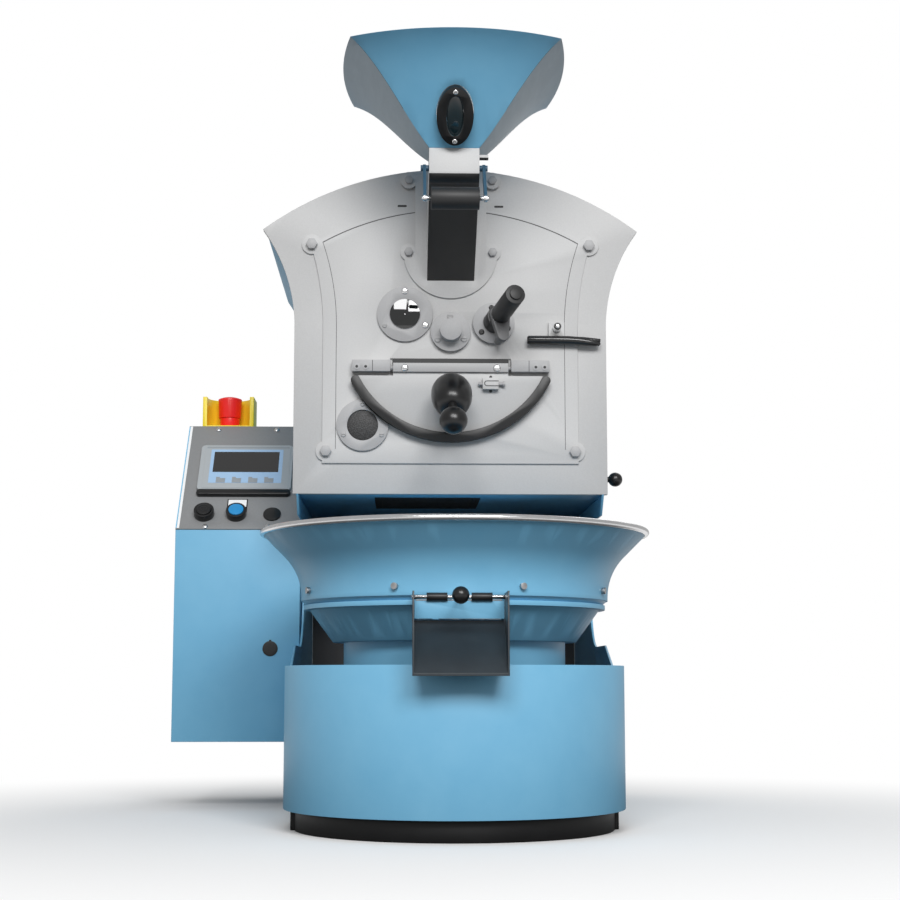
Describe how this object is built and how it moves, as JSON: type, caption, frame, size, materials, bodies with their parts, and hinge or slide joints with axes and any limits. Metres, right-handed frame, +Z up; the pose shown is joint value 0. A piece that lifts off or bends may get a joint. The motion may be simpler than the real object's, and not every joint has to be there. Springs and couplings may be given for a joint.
{
  "type": "coffee bean roaster",
  "caption": "Powder blue coffee bean roaster with hopper, drum body, cooling bin and side control box.",
  "frame": {"origin": "on the floor under the middle of the cooling bin", "axes": "+X to the right seen from the front, +Y to the back, +Z up"},
  "size_m": [0.661, 0.96, 0.996],
  "materials": {
    "blue_paint": "satin powder coat",
    "grey_cast": "satin",
    "dark_grey": "matt",
    "panel_grey": "satin",
    "black_metal": "satin",
    "steel": "brushed",
    "bright_steel": "polished",
    "black_plastic": "gloss",
    "dark_glass": "polished",
    "blue_plastic": "gloss",
    "red_plastic": "gloss",
    "yellow_plastic": "satin",
    "display_plastic": "satin"
  },
  "bodies": {
    "machine": {"base_plinth": "black_metal", "base_shell": "blue_paint", "base_deck": "dark_grey", "base_back_panel": "dark_grey", "body_shell": "blue_paint", "body_floor": "blue_paint", "vent_grille": "black_metal", "front_plate": "grey_cast", "face_frame": "grey_cast", "chute_plate": "grey_cast", "face_bolts": "steel", "chute_bolts": "steel", "feed_chute": "grey_cast", "hopper": "blue_paint", "hopper_window": "black_plastic", "sight_glass": "steel", "bearing_cap": "steel", "trier_flange": "steel", "air_flange": "steel", "hinge_blocks": "steel", "bulkhead": "dark_grey", "rear_plate": "blue_paint", "exhaust_collar": "steel", "drum_motor": "dark_grey", "bin_bell": "blue_paint", "bin_rim": "bright_steel", "bin_cone": "blue_paint", "bin_floor": "steel", "bin_screws": "steel", "agitator_gearbox": "dark_grey", "fan_housing": "dark_grey", "bin_tray": "dark_grey", "control_box": "blue_paint", "control_panel": "panel_grey", "operator_display": "display_plastic", "panel_bezels": "black_plastic", "stop_shroud": "yellow_plastic"},
    "drum": {"drum_shell": "steel", "drum_shaft": "steel"},
    "agitator": {"agitator": "steel"},
    "fan": {"fan_impeller": "steel"},
    "door": {"discharge_door": "grey_cast", "door_band": "black_metal", "door_hinge": "steel", "door_weight": "black_plastic"},
    "latch": {"latch_bolt": "bright_steel"},
    "feed_gate": {"feed_gate": "blue_paint", "feed_grip": "black_plastic"},
    "trier_slide": {"trier_collar": "steel"},
    "trier": {"trier_scoop": "steel", "trier_grip": "black_plastic"},
    "air_lever": {"air_lever": "steel"},
    "damper": {"side_knob": "black_plastic"},
    "bin_gate": {"bin_gate": "blue_paint", "gate_shaft": "bright_steel"},
    "black_button": {"black_button": "black_plastic"},
    "blue_button": {"blue_button": "blue_plastic"},
    "stop_neck": {"stop_neck": "black_plastic"},
    "stop_head": {"stop_head": "red_plastic"}
  },
  "joints": [
    {"name": "drum_spin", "type": "hinge", "parent": "machine", "child": "drum", "pos_m": [0, 0.36, 0.665], "axis": [0, 1, 0], "continuous": true},
    {"name": "agitator_spin", "type": "hinge", "parent": "machine", "child": "agitator", "pos_m": [0, 0, 0.26], "axis": [0, 0, 1], "continuous": true},
    {"name": "fan_spin", "type": "hinge", "parent": "machine", "child": "fan", "pos_m": [0, 0, 0.09], "axis": [0, 0, 1], "continuous": true},
    {"name": "door_swing", "type": "hinge", "parent": "machine", "child": "door", "pos_m": [0, 0.1677, 0.613], "axis": [-1, 0, 0], "range_deg": [0, 70]},
    {"name": "latch_slide", "type": "slide", "parent": "door", "child": "latch", "axis": [-1, 0, 0], "range_m": [0, 0.005]},
    {"name": "feed_gate_swing", "type": "hinge", "parent": "machine", "child": "feed_gate", "pos_m": [0, 0.005, 0.85], "axis": [-1, 0, 0], "range_deg": [0, 50]},
    {"name": "trier_pull", "type": "slide", "parent": "machine", "child": "trier_slide", "axis": [0.2056, -0.9671, 0.1495], "range_m": [0, 0.11]},
    {"name": "trier_turn", "type": "hinge", "parent": "trier_slide", "child": "trier", "pos_m": [0.06, 0.174, 0.6775], "axis": [0.2056, -0.9671, 0.1495], "range_deg": [-180, 180]},
    {"name": "lever_swing", "type": "hinge", "parent": "machine", "child": "air_lever", "pos_m": [0.148, 0.174, 0.67], "axis": [0, 1, 0], "range_deg": [-15, 15]},
    {"name": "damper_pull", "type": "slide", "parent": "machine", "child": "damper", "axis": [1, 0, 0], "range_m": [0, 0.02]},
    {"name": "bin_gate_lift", "type": "hinge", "parent": "machine", "child": "bin_gate", "pos_m": [0, -0.199, 0.2785], "axis": [-1, 0, 0], "range_deg": [0, 55]},
    {"name": "black_press", "type": "slide", "parent": "machine", "child": "black_button", "axis": [0, 0.7694, -0.6388], "range_m": [0, 0.004], "stiffness_N_per_m": 400, "springref_m": -0.002},
    {"name": "blue_press", "type": "slide", "parent": "machine", "child": "blue_button", "axis": [0, 0.7694, -0.6388], "range_m": [0, 0.004], "stiffness_N_per_m": 400, "springref_m": -0.002},
    {"name": "stop_push", "type": "slide", "parent": "machine", "child": "stop_neck", "axis": [0, 0, -1], "range_m": [0, 0.004], "stiffness_N_per_m": 900, "springref_m": -0.002},
    {"name": "stop_twist", "type": "hinge", "parent": "stop_neck", "child": "stop_head", "pos_m": [-0.338, 0.492, 0.57235], "axis": [0, 0, -1], "range_deg": [0, 45], "stiffness_Nm_per_rad": 0.03}
  ]
}
